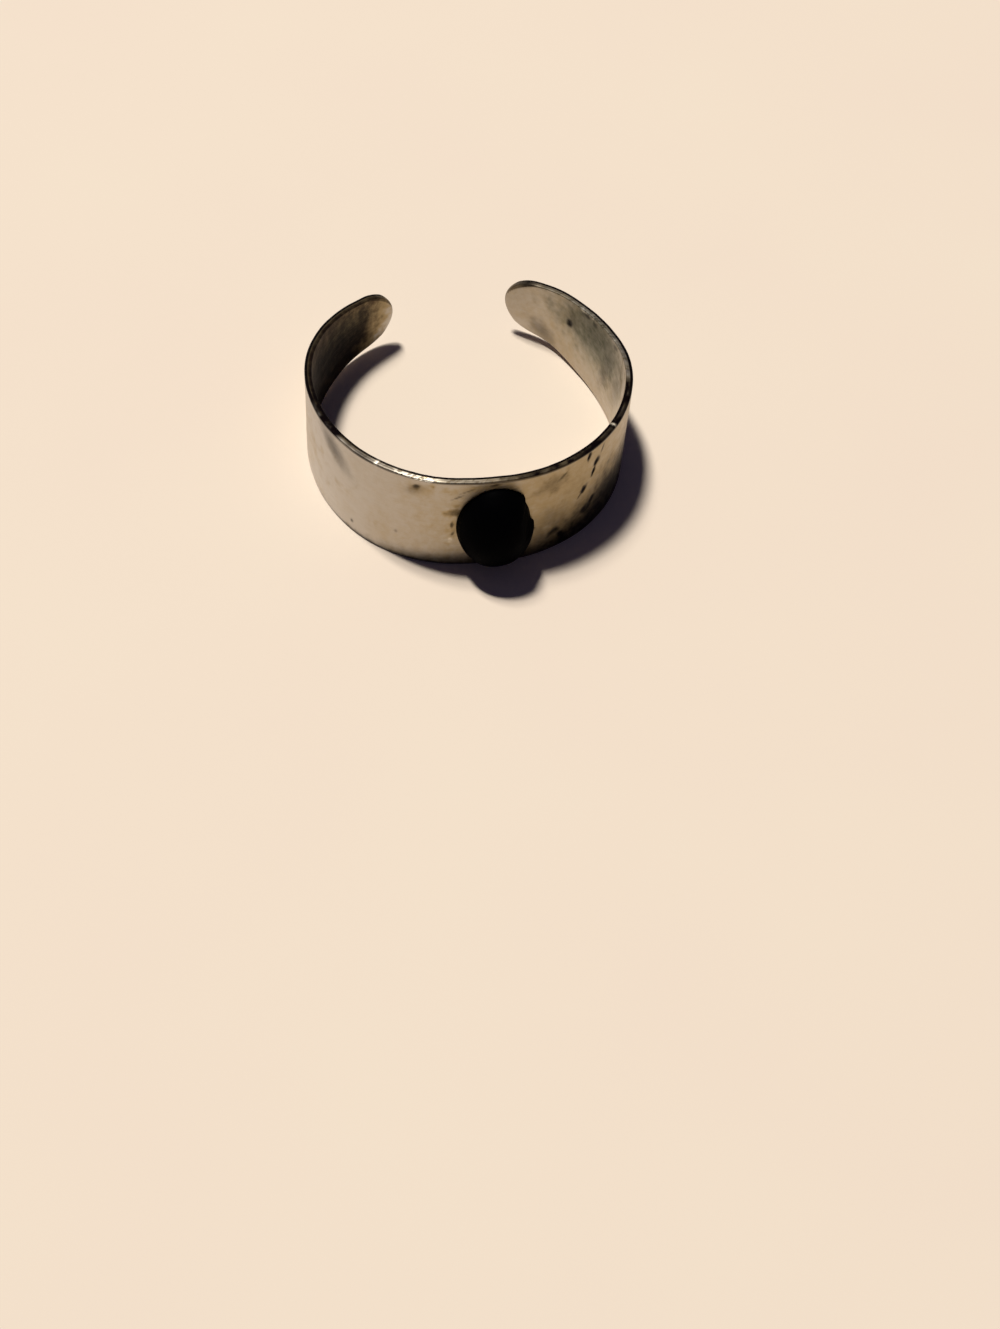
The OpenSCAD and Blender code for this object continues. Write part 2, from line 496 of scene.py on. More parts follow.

# The top rim, in the order of the columns of RimPlace: black at both sides of the front, partly
# real blackening and partly painted dark reflection of the room, filed bright at the front left,
# and bare grey with a thin black outer line along the right arm. The corner lines are painted
# shade.
RIM = (
    RimPlace(-24.0, 0.5, 0.0, 0.0, 1.0),
    RimPlace(-12.0, 0.8, 0.0, 0.2, 1.0),
    RimPlace(-10.5, 0.97, 0.0, 0.9, 0.8),
    RimPlace(-9.2, 0.93, 0.0, 0.95, 0.6),
    RimPlace(-8.6, 0.6, 0.0, 0.95, 0.5),
    RimPlace(-7.2, 0.78, 0.1, 0.95, 0.85),
    RimPlace(-6.45, 0.65, 0.2, 0.95, 0.8),
    RimPlace(-6.3, 0.0, 1.0, 0.7, 0.3),
    RimPlace(-6.15, 0.6, 0.15, 0.95, 0.7),
    RimPlace(-5.4, 0.5, 0.25, 0.95, 0.7),
    RimPlace(-5.0, 0.15, 0.95, 0.95, 0.5),
    RimPlace(-4.0, 0.05, 1.0, 1.0, 0.5),
    RimPlace(-3.3, 0.15, 0.95, 1.0, 0.5),
    RimPlace(-2.8, 0.5, 0.35, 1.0, 0.7),
    RimPlace(-0.5, 0.65, 0.2, 1.0, 0.7),
    RimPlace(1.0, 0.83, 0.0, 1.0, 0.7),
    RimPlace(3.2, 0.92, 0.0, 1.0, 0.8),
    RimPlace(5.0, 0.95, 0.0, 1.0, 1.0),
    RimPlace(7.3, 0.97, 0.0, 1.0, 0.9),
    RimPlace(7.42, 0.3, 1.0, 0.4, 0.5),
    RimPlace(7.54, 0.97, 0.0, 1.0, 0.9),
    RimPlace(10.8, 1.0, 0.0, 1.0, 1.0),
    RimPlace(11.4, 0.4, 0.1, 0.0, 1.0),
    RimPlace(13.0, 0.2, 0.15, 0.0, 1.0),
    RimPlace(19.0, 0.2, 0.15, 0.0, 1.0),
    RimPlace(21.0, 0.5, 0.0, 0.0, 1.0),
    RimPlace(22.0, 0.95, 0.0, 0.3, 0.95),
    RimPlace(23.4, 0.2, 0.0, 0.0, 0.5),
)


@dataclass(frozen=True)
class Pattern:
    """A cloudy pattern in a finish.

    Args:
        size: Size of its clouds.
        detail: How often finer clouds lie over them, each half as large as the last.
        rough: How strong the finer clouds are.
    """

    size: float
    detail: float
    rough: float = 0.5

    def inputs(self, vector: bpy.types.Node | bpy.types.NodeSocket, unit: float = 1.0) -> dict:
        """Works out the inputs of the noise node that draws it.

        Args:
            vector: The coordinates that it follows.
            unit: Length of a millimetre in those coordinates.

        Returns:
            The inputs by name.
        """
        scale = 1 / (self.size * unit)
        return {"Vector": vector, "Scale": scale, "Detail": self.detail, "Roughness": self.rough}


class Finish(ABC):
    """What a surface is made of, and how it was worked. Each kind names its material."""

    name: str

    def material(self) -> bpy.types.Material:
        """Makes the material.

        Returns:
            The material, named for the finish.
        """
        made = bpy.data.materials.new(self.name)
        tree = emptied(made)
        add_node(tree, "OutputMaterial", {"Surface": self.shader(tree)})
        return made

    @abstractmethod
    def shader(self, tree: bpy.types.NodeTree) -> bpy.types.Node:
        """Adds the nodes of the finish.

        Args:
            tree: The material's nodes.

        Returns:
            The node that shades the surface.
        """


@dataclass(frozen=True)
class RimShadeLine:
    """A painted black line along one corner of the rim: shade where the rounded corner reflects the
    dark room.

    Args:
        depth: Depths below the outer face where it starts and where it is full.
        below: Distances from the edge where it starts and where it is full.
    """

    depth: Ramp
    below: Ramp


@dataclass(frozen=True)
class TarnishedSilver(Finish):
    """Sterling silver sheet, rolled and satin, dulled by handling.

    Clean silver is bright and nearly neutral. Sulphide turns it tan, then brown, then black,
    and the stained places are duller. The black also carries painted shade: dark reflections on
    the rim and along its corners, and the ring's shadow reflected low on the walls. A file leaves
    bare, rough strokes.

    Args:
        name: The material's name.
        clean: Colour of the clean sheet.
        tan: Colour of thin tarnish.
        brown: Colour of thicker tarnish.
        green: Colour of the greenish bloom.
        black: Colour of the thickest tarnish, and of the painted shade.
        filed: Colour of bare silver, and of a painted highlight.
        roughness: Roughness of the clean sheet.
        duller: What tan, black and filing add to the roughness.
        blotches: Broad clouds of thin tarnish.
        mottle: Small clouds in every stain.
        grain: Grain of the metal, drawn coarser than the real one so that it shows.
        rolled: Size of the lines that rolling left, along the sheet, through it and up it. They
            are drawn coarser too.
        rolling: How these lines are drawn, in those sizes.
        stroke_wide: Width of a file stroke.
        stroke_long: Its length across the rim.
        stroke_lean: How far it leans along the rim, for each unit across it.
        filing: How the strokes are drawn, in those sizes.
        inner_shade_line: The painted black line along the inner corner, shade where it reflects the
            room.
        outer_shade_line: The painted black line along the outer corner, shade where it reflects the
            room.
        cut_share: How much of the filed rim the strokes cover, as a ramp of their pattern.
        fleck_share: How much of a bright patch is bare, as a ramp of the mottle.
        mottled: How the mottle changes the brown, the green and the black.
        clouded: What the blotches add to the brown.
        to_tan: How brown a place is where tan starts and is full.
        to_brown: How brown a place is where brown starts and is full.
        rolled_gloss: What the rolled lines add to the roughness.
        stroke_deep: Depth of the file strokes.
        reliefs: Strength and depth of the rolled lines and of the grain.
    """

    name: str = "tarnished_silver_sheet"
    clean: str = "BAB5B0"
    tan: str = "A5926F"
    brown: str = "503A26"
    green: str = "4E5B47"
    black: str = "100A0C"
    filed: str = "F3EDE0"
    roughness: float = 0.34
    duller: tuple[float, float, float] = (0.12, 0.2, 0.24)
    blotches: Pattern = Pattern(2.22, 5, 0.6)
    mottle: Pattern = Pattern(0.4545, 6, 0.65)
    grain: Pattern = Pattern(0.0714, 3, 0.6)
    rolled: tuple[float, float, float] = (1.43, 0.179, 0.0794)
    rolling: Pattern = Pattern(1, 4, 0.6)
    stroke_wide: float = 0.2
    stroke_long: float = 0.5
    stroke_lean: float = 0.8
    filing: Pattern = Pattern(1, 2, 0.5)
    inner_shade_line: RimShadeLine = RimShadeLine((0.17, 0.24), (0.24, 0.12))
    outer_shade_line: RimShadeLine = RimShadeLine((0.21, 0.14), (0.2, 0.1))
    cut_share: Ramp = (0.4, 0.53)
    fleck_share: Ramp = (0.35, 0.6)
    mottled: tuple[Ramp, Ramp, Ramp] = (
        (0.3, 0.7, 0.82, 1.18),
        (0.25, 0.7, 0.6, 1.0),
        (0.3, 0.7, 0.93, 1.07),
    )
    clouded: Ramp = (0.4, 0.8, 0.0, 0.12)
    to_tan: Ramp = (0.0, 0.6)
    to_brown: Ramp = (0.5, 1.2)
    rolled_gloss: Ramp = (0.3, 0.7, -0.05, 0.07)
    stroke_deep: float = 0.04
    reliefs: tuple[tuple[float, float], ...] = ((0.5, 0.02), (0.3, 0.01))

    def shader(self, tree: bpy.types.NodeTree) -> bpy.types.Node:
        """Adds the nodes of the silver.

        Args:
            tree: The material's nodes.

        Returns:
            The node that shades the surface.
        """
        add = partial(add_node, tree)
        sheet = add("Attribute", attribute_name="sheet").outputs["Vector"]
        patina = add("Attribute", attribute_name="patina").outputs
        edges = add("Attribute", attribute_name="edges").outputs
        along, depth, _ = add("SeparateXYZ", (sheet,)).outputs
        brown, green, black = add("SeparateColor", (patina["Color"],)).outputs
        below, filed, inner = add("SeparateColor", (edges["Color"],)).outputs

        blotches = add("TexNoise", self.blotches.inputs(sheet))
        mottle = add("TexNoise", self.mottle.inputs(sheet))
        grain = add("TexNoise", self.grain.inputs(sheet))
        scale = [1 / size for size in self.rolled]
        rolled = add("Mapping", {"Vector": sheet, "Scale": scale})
        rolling = add("TexNoise", self.rolling.inputs(rolled))

        # Painted shade: black lines along the rim's two corners, where the rounded corners reflect
        # the dark room
        lines = []
        for line, shown in ((self.inner_shade_line, inner), (self.outer_shade_line, edges["Alpha"])):
            for value, ramp in ((depth, line.depth), (below, line.below)):
                near = add("MapRange", (value, *ramp), **SMOOTH)
                shown = add("Math", (shown, near), **TIMES)
            lines.append(shown)
        lines = add("Math", tuple(lines), operation="MAXIMUM")

        # Slanting file strokes across the rim between those shade lines, and bright flecks
        # elsewhere, one patch of them a painted highlight
        lean = add("Math", (depth, self.stroke_lean), **TIMES)
        slanted = add("CombineXYZ", (add("Math", (along, lean), operation="SUBTRACT"), depth))
        scale = (1 / self.stroke_wide, 1 / self.stroke_long, 1)
        stroke_place = add("Mapping", {"Vector": slanted, "Scale": scale})
        strokes = add("TexNoise", self.filing.inputs(stroke_place))
        on_rim = add("MapRange", (below, *RIM_WIDTH), **SMOOTH)
        on_filed = add("Math", (filed, on_rim), **TIMES)
        share = add("MapRange", (strokes, *self.cut_share), **SMOOTH)
        between = add("Math", (1.0, lines), operation="SUBTRACT")
        cut = add("Math", (add("Math", (on_filed, share), **TIMES), between), **TIMES)
        share = add("MapRange", (mottle, *self.fleck_share), **SMOOTH)
        flecks = add("Math", (patina["Alpha"], share), **TIMES)
        bright = add("Math", (cut, flecks), operation="MAXIMUM")

        # Each kind of patina, mottled, the painted shade joining the black, then the colours one
        # over the other
        tanned, greened, blackened_and_shaded = [
            add("Math", (kind, add("MapRange", (mottle, *ramp), **SMOOTH)), **TIMES)
            for kind, ramp in zip((brown, green, black), self.mottled)
        ]
        clouds = add("MapRange", (blotches, *self.clouded), **SMOOTH)
        tanned = add("Math", (tanned, clouds), operation="ADD")
        blackened_and_shaded = add("Math", (blackened_and_shaded, lines), operation="MAXIMUM")
        colour = linear(self.clean)
        for cover, code in (
            (add("MapRange", (tanned, *self.to_tan), **SMOOTH), self.tan),
            (add("MapRange", (tanned, *self.to_brown), **SMOOTH), self.brown),
            (greened, self.green),
            (add("Math", (blackened_and_shaded, 1.0), operation="MINIMUM"), self.black),
            (bright, self.filed),
        ):
            colour = add("Mix", {0: cover, 6: colour, 7: linear(code)}, data_type="RGBA")

        gloss = add("MapRange", (rolling, *self.rolled_gloss), **SMOOTH)
        rough = add("Math", (gloss, self.roughness), operation="ADD")
        for value, more in zip((tanned, black, cut), self.duller):
            rough = add("Math", (value, more, rough), operation="MULTIPLY_ADD")
        deep = self.stroke_deep * MM
        relief = add("Bump", {"Strength": on_filed, "Distance": deep, "Height": strokes})
        for height, (strength, deep) in zip((rolling, grain), self.reliefs):
            inputs = {"Strength": strength, "Distance": deep * MM, "Height": height}
            relief = add("Bump", inputs | {"Normal": relief})
        inputs = {"Base Color": colour, "Metallic": 1.0, "Roughness": rough, "Normal": relief}
        return add("BsdfPrincipled", inputs)


@dataclass(frozen=True)
class BlackOnyx(Finish):
    """Onyx, cut as an oval dome and worn dull.

    It is opaque and so black that it shows almost nothing but its outline.

    Args:
        name: The material's name.
        colour: Colour of the stone.
        roughness: Roughness of the worn surface.
        gloss: How strongly it shines, where 0.5 is a clean polish.
        wear: Pattern of the worn surface, drawn coarser than the real one so that it shows.
        relief: Strength and depth of that wear.
    """

    name: str = "black_onyx"
    colour: str = "020203"
    roughness: float = 0.5
    gloss: float = 0.005
    wear: Pattern = Pattern(0.1667, 4)
    relief: tuple[float, float] = (0.3, 0.02)

    def shader(self, tree: bpy.types.NodeTree) -> bpy.types.Node:
        """Adds the nodes of the stone.

        Args:
            tree: The material's nodes.

        Returns:
            The node that shades the surface.
        """
        place = add_node(tree, "TexCoord").outputs["Object"]
        wear = add_node(tree, "TexNoise", self.wear.inputs(place, MM))
        strength, deep = self.relief
        inputs = {"Strength": strength, "Distance": deep * MM, "Height": wear}
        relief = add_node(tree, "Bump", inputs)
        inputs = {"Base Color": linear(self.colour), "Roughness": self.roughness}
        inputs |= {"Specular IOR Level": self.gloss, "Normal": relief}
        return add_node(tree, "BsdfPrincipled", inputs)


@dataclass(frozen=True)
class CreamBoard(Finish):
    """Cream painted board, matt, with the faintest cloudiness. It is the floor.

    Args:
        name: The material's name.
        colour: Colour of the paint.
        cloud: Colour of its clouds.
        clouds: Pattern of the clouds.
        roughness: Roughness of the paint.
        gloss: How strongly it shines, where 0.5 is a clean polish.
    """

    name: str = "cream_board"
    colour: str = "F0E4D2"
    cloud: str = "EEDFD0"
    clouds: Pattern = Pattern(16.67, 2)
    roughness: float = 0.9
    gloss: float = 0.1

    def shader(self, tree: bpy.types.NodeTree) -> bpy.types.Node:
        """Adds the nodes of the board.

        Args:
            tree: The material's nodes.

        Returns:
            The node that shades the surface.
        """
        place = add_node(tree, "TexCoord").outputs["Object"]
        clouds = add_node(tree, "TexNoise", self.clouds.inputs(place, MM))
        inputs = {0: clouds, 6: linear(self.colour), 7: linear(self.cloud)}
        colour = add_node(tree, "Mix", inputs, data_type="RGBA")
        inputs = {"Base Color": colour, "Roughness": self.roughness}
        return add_node(tree, "BsdfPrincipled", inputs | {"Specular IOR Level": self.gloss})


@dataclass(frozen=True)
class Arm:
    """One arm of the bent band.

    Args:
        bends: Its bends, from the middle of the front to the end.
    """

    bends: tuple[Bend, ...]

    def length(self) -> float:
        """Length of the arm's outer face."""
        return sum(bend.radius * math.radians(bend.turn) for bend in self.bends)

    def place(self, along: float) -> tuple[float, float, float]:
        """Finds a place on the outer face, for an arm that runs to the right.

        Args:
            along: Distance from the middle of the front, along the face.

        Returns:
            Distance to the right, depth behind the front, and heading in radians.
        """
        x, y, heading = 0.0, 0.0, 0.0
        for bend in self.bends:
            last = bend is self.bends[-1]
            step = along if last else min(along, bend.radius * math.radians(bend.turn))
            turned = heading + step / bend.radius
            x += bend.radius * (math.sin(turned) - math.sin(heading))
            y += bend.radius * (math.cos(heading) - math.cos(turned))
            heading = turned
            along -= step
            if along <= 0.0:
                break
        return x, y, heading


@dataclass
class Band:
    """The strip of silver sheet, cut flat, worn, and bent into a horseshoe.

    Args:
        left: The left arm, as it would run to the right.
        right: The right arm.
        sheet: Thickness of the sheet.
        top_edge_radius: Radius of the top edge, seen from the side.
        flat_foot: Depth of the foot that lies flat.
        foot_radius: Radius of the foot behind it, seen from the side.
        end_length: Length of each oval end.
        columns: Faces along the blank, before it is made finer.
        end_columns: Faces along each end.
        front_columns: Faces along the worn front, which has the finest marks.
        front_half: Half the length of the worn front.
        rows: Faces across the blank.
        edge_row: Width of the first and last row, as a part of the blank's width.
        finer: How often each face is split in four.
        rim_crease: How sharp the rim stays when the faces are split.
        stations: At how many places along the band its edges are worked out for the look.
        plan_step: Length of the straight pieces of the plan that it is bent along.
        run_out: How many such pieces the plan runs on past the right end.
        seat: Place along, height and radius of the even patch under the stone.
        waves: How the sheet is uneven outside that patch.
        bows: Where it strays from its bends.
        mark_slope: Where the slope of a mark ends inside and outside, as parts of its size.
        dents: Small dents of the rim.
        dent_depth: Depth of those dents.
        dent_shine: How much of the rim's black they change.
        filing: How rough the rim is where it is filed most.
        filed_slope: How far its outer corner is filed down there.
        rim_brown: How brown the rim is all along, from 0 to 1.
        tears: How the outlines of stains and painted shade are torn.
        changeover: Between which depths the stains and painted shade of the outer face give way to
            the inner one's, as parts of the thickness.
        finish: What it is made of.
        height: Height of the front, which the frame gives.
    """

    left: Arm = Arm((Bend(15, 7.5), Bend(7.3, 50.5), Bend(9.1, 50.5), Bend(8.7, 50)))
    right: Arm = Arm((Bend(15, 2.5), Bend(8, 73.5), Bend(8.8, 31), Bend(11.2, 39)))
    sheet: float = 0.38
    top_edge_radius: float = 54
    flat_foot: float = 9
    foot_radius: float = 40
    end_length: float = 2.2
    columns: int = 72
    end_columns: int = 3
    front_columns: int = 32
    front_half: float = 8
    rows: int = 9
    edge_row: float = 0.03
    finer: int = 3
    rim_crease: float = 0.3
    stations: int = 240
    plan_step: float = 0.15
    run_out: int = 2
    seat: tuple[float, float, float] = (0.0, 3.15, 2.0)
    waves: tuple[Lumps, ...] = (Lumps(3.2, 1.5, 0.03), Lumps(1.3, 7.5, 0.014))
    bows: tuple[Bow, ...] = (Bow(15.2, 2.8, 0.07), Bow(20.4, 3.0, -0.19))
    mark_slope: tuple[float, float] = (0.2, 1.2)
    dents: Lumps = Lumps(0.45, 9.5)
    dent_depth: float = 0.012
    dent_shine: float = 0.2
    filing: Lumps = Lumps(0.16, 8.5, 0.02)
    filed_slope: float = 0.05
    rim_brown: float = 0.15
    tears: tuple[Lumps, ...] = (Lumps(0.5, 3.5, 0.7), Lumps(0.2, 4.5, 0.5))
    changeover: tuple[float, float] = (0.25, 0.75)
    finish: Finish = TarnishedSilver()
    height: float = field(init=False)

    def build(self) -> bpy.types.Object:
        """Makes the band in its place.

        Returns:
            The finished mesh object.
        """
        low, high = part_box("band")
        self.height = (high.z - low.z) / MM
        band = self.cut_blank()
        self.thicken(band)
        self.wear(band)
        self.bend(band, low)
        bpy.ops.object.shade_smooth()
        band.data.materials.append(self.finish.material())
        return band

    def edges_at(self, along: float) -> tuple[float, float]:
        """Finds the band's edges at one place.

        Args:
            along: Place along the band, from the middle of the front.

        Returns:
            Heights of the foot and of the top edge.
        """
        arm = self.right if along >= 0 else self.left
        _, depth, heading = arm.place(abs(along))
        depth += self.sheet / 2 * math.cos(heading)
        behind = max(depth - self.flat_foot, 0)
        foot = self.foot_radius - math.sqrt(self.foot_radius**2 - behind**2)
        top = self.height - self.top_edge_radius + math.sqrt(self.top_edge_radius**2 - depth**2)
        return foot, top

    def cut_blank(self) -> bpy.types.Object:
        """Shapes the flat blank, with its outer face towards -Y and its left end at X = 0.

        Returns:
            The blank, a grid of faces.
        """
        bpy.ops.mesh.primitive_grid_add(
            x_subdivisions=self.columns,
            y_subdivisions=self.rows,
            size=1,
            rotation=(math.pi / 2, 0, 0),
        )
        blank = bpy.context.object
        blank.name = "silver_band"
        bpy.ops.object.transform_apply(location=True, rotation=True, scale=True)
        lines = self.columns + 1
        inner_row = (1 - 2 * self.edge_row) / (self.rows - 2)
        rises = (0, *(self.edge_row + i * inner_row for i in range(self.rows - 1)), 1)
        with editing(blank):
            for row, rise in enumerate(rises):
                pick(blank, range(row * lines, (row + 1) * lines))
                bpy.ops.transform.translate(value=(0, 0, rise - row / self.rows))
            self.place_columns(blank)
            self.round_ends(blank, rises)
        return blank

    def place_columns(self, blank: bpy.types.Object) -> None:
        """Moves each column of the blank's vertices to its place and stretches it to its height.

        Args:
            blank: The blank in edit mode, 1 metre long and high and centred.
        """
        front, long = self.left.length(), self.left.length() + self.right.length()
        arm_columns = (self.columns - self.front_columns) // 2
        last = self.columns - self.end_columns
        stops = (self.end_columns, arm_columns, self.columns - arm_columns, last)
        places = (
            self.end_length,
            front - self.front_half,
            front + self.front_half,
            long - self.end_length,
        )
        lines = self.columns + 1
        for column in range(lines):
            beyond_left, beyond_right = self.end_columns - column, column - last
            beyond = max(beyond_left, beyond_right, 0) / self.end_columns
            at = float(np.interp(column, stops, places))
            foot, top = self.edges_at(at - front)
            x = at + math.copysign(beyond * self.end_length, beyond_right - beyond_left)
            height = (top - foot) * rounded(beyond)
            middle = (x * MM, 0, (foot + top) / 2 * MM)
            start = column / self.columns - 0.5
            pick(blank, range(column, lines * (self.rows + 1), lines))
            bpy.ops.transform.translate(value=(middle[0] - start, 0, middle[2]))
            bpy.ops.transform.resize(value=(1, 1, height * MM), center_override=middle)

    def round_ends(self, blank: bpy.types.Object, rises: tuple[float, ...]) -> None:
        """Draws in the rows of both ends, so that the ends become oval.

        Args:
            blank: The blank in edit mode.
            rises: Height of each row, from 0 to 1.
        """
        long = self.left.length() + self.right.length()
        lines = self.columns + 1
        ends = ((0, self.end_length), (lines - self.end_columns, long - self.end_length))
        for row, rise in enumerate(rises):
            shorter = rounded(2 * rise - 1)
            for first, root in ends:
                start = row * lines + first
                pick(blank, range(start, start + self.end_columns))
                bpy.ops.transform.resize(value=(shorter, 1, 1), center_override=(root * MM, 0, 0))

    def thicken(self, blank: bpy.types.Object) -> None:
        """Gives the blank its thickness behind the outer face, a soft rim and a fine mesh.

        Args:
            blank: The flat blank.
        """
        finish_with(
            blank,
            "SOLIDIFY",
            thickness=self.sheet * MM,
            offset=-1,
            edge_crease_outer=self.rim_crease,
            edge_crease_inner=self.rim_crease,
        )
        finish_with(blank, "SUBSURF", levels=self.finer, render_levels=self.finer)

    def wear(self, blank: bpy.types.Object) -> None:
        """Presses marks into the flat sheet and writes its patina, its painted shade and its own
        coordinates.

        Args:
            blank: The flat sheet, with its thickness.
        """
        places = points_of(blank)
        along = places[:, 0] - self.left.length()
        depth, up = places[:, 1].copy(), places[:, 2].copy()
        through = np.clip(depth / self.sheet, 0, 1)
        below = self.edge_distance(along, up)
        on_rim = fade(below, *RIM_WIDTH)
        stops = [place.along for place in RIM]
        dark, filed, inner, outer = [
            np.interp(along, stops, [getattr(place, name) for place in RIM])
            for name in ("dark", "filed", "inner", "outer")
        ]

        dents = self.dents.over(along, depth)
        rough = filed * self.filing.over(along, depth) + self.dent_depth * dents
        places[:, 1] += self.pressed(along, up, through)
        places[:, 2] -= on_rim * (rough + self.filed_slope * filed * (1 - through))
        set_points(blank, places)

        bare = self.uncovered(along, up, through)
        # The rim's black: partly real blackening, partly painted dark reflection of the room
        bare[:, BLACK.value] *= 1 - dark * on_rim * (1 - self.dent_shine * dents)
        bare[:, BROWN.value] *= 1 - self.rim_brown * on_rim
        # Its inner and outer channels are the painted shade lines along the rim's corners
        write_attribute(blank, "edges", np.stack([below, filed, inner, outer], axis=1))
        # The patina attribute holds the stains and the painted shade together
        write_attribute(blank, "patina", 1 - bare)
        write_attribute(blank, "sheet", np.stack([along, depth, up], axis=1))

    def pressed(self, along: np.ndarray, up: np.ndarray, through: np.ndarray) -> np.ndarray:
        """Works out how waves, bows and marks move the sheet.

        Args:
            along: Places along the band, from the middle of the front.
            up: Heights above the foot.
            through: Depths below the outer face, as parts of the thickness.

        Returns:
            How far each point moves towards the inner face.
        """
        seat_along, seat_up, seat_radius = self.seat
        from_seat = np.hypot(along - seat_along, up - seat_up)
        inwards = sum(wave.over(along, up) for wave in self.waves)
        inwards *= fade(from_seat, seat_radius, 2 * seat_radius)
        for bow in self.bows:
            inwards += bow.inwards * fade(np.abs(along - bow.along), bow.half_long, 0)
        near = {OUTER: np.clip(1 - 2 * through, 0, 1), INNER: -np.clip(2 * through - 1, 0, 1)}
        for mark in MARKS:
            hollow = mark.deep * (1 - fade(reach(mark, along, up), *self.mark_slope))
            inwards += near[mark.face] * hollow
        return inwards

    def uncovered(self, along: np.ndarray, up: np.ndarray, through: np.ndarray) -> np.ndarray:
        """Works out how much of each point the stains and the painted shade leave bare.

        Args:
            along: Places along the band, from the middle of the front.
            up: Heights above the foot.
            through: Depths below the outer face, as parts of the thickness.

        Returns:
            A row for each point and a column for each kind of patina, from 0 to 1.
        """
        bare = np.ones((len(along), len(Patina)))
        torn = sum(tear.over(along, up) for tear in self.tears)
        near, far = self.changeover
        on_face = {OUTER: fade(through, far, near), INNER: fade(through, near, far)}
        for blot in STAINS_AND_SHADE:
            spread = reach(blot, along, up) * (1 + blot.torn * torn)
            cover = blot.strength * fade(spread, 1 + blot.soft, 1 - blot.soft)
            bare[:, blot.kind.value] *= 1 - cover * on_face[blot.face]
        return bare

    def edge_distance(self, along: np.ndarray, up: np.ndarray) -> np.ndarray:
        """Distance of points on the sheet from its top edge, or from its oval ends.

        Args:
            along: Places along the band, from the middle of the front.
            up: Heights above the foot.

        Returns:
            The distances, each 0 on the edge.
        """
        stations = np.linspace(-self.left.length(), self.right.length(), self.stations)
        feet, tops = np.array([self.edges_at(station) for station in stations]).T
        foot, top = np.interp(along, stations, feet), np.interp(along, stations, tops)
        middle, half = (foot + top) / 2, (top - foot) / 2
        ends = (self.end_length - self.left.length(), self.right.length() - self.end_length)
        beyond = np.clip(np.maximum(ends[0] - along, along - ends[1]) / self.end_length, 0, 1)
        oval = half * np.sqrt(1 - beyond**2)
        inside = np.where(up > middle, oval - np.abs(up - middle), half)
        return np.where(beyond > 0, np.minimum(inside, (1 - beyond) * self.end_length), inside)

    def bend(self, blank: bpy.types.Object, low: Vector) -> None:
        """Bends the flat band along its plan and sets it in its place.

        Args:
            blank: The flat band.
            low: Lowest corner of the band's box in the frame.
        """
        steps_left = math.ceil(self.left.length() / self.plan_step)
        steps_right = math.ceil(self.right.length() / self.plan_step)
        plan = []
        for i in range(-steps_left, steps_right + self.run_out + 1):
            arm, parts = (self.right, steps_right) if i >= 0 else (self.left, steps_left)
            x, y, _ = arm.place(abs(i) / parts * arm.length())
            plan.append(Vector((math.copysign(x, i), y, 0)) * MM)
        route = bpy.data.curves.new("bending_plan", "CURVE")
        route.dimensions = "2D"
        line = route.splines.new("POLY")
        line.points.add(len(plan) - 1)
        for point, place in zip(line.points, plan):
            point.co = (*place, 1)
        former = bpy.data.objects.new("bending_plan", route)
        bpy.context.scene.collection.objects.link(former)
        finish_with(blank, "CURVE", object=former, deform_axis="POS_X")
        bpy.data.objects.remove(former)
        blank.location = (low.x - min(place.x for place in plan), low.y, 0)
        only(blank)
        bpy.ops.object.transform_apply(location=True, rotation=True, scale=True)


@dataclass(frozen=True)
class Chip:
    """A worn flank of the stone.

    Args:
        start: Where it starts round the oval, in degrees from the right.
        end: Where it ends.
        start_slope: Over how many degrees it deepens from its start.
        end_slope: Over how many degrees it runs out past its end.
        inner: How far from the stone's middle it starts, as a part of the oval.
        outer: How far from there it is full.
        deep: Its depth.
    """

    start: float = -2.0
    end: float = 36.0
    start_slope: float = 5.0
    end_slope: float = 10.0
    inner: float = 0.6
    outer: float = 0.9
    deep: float = 0.2


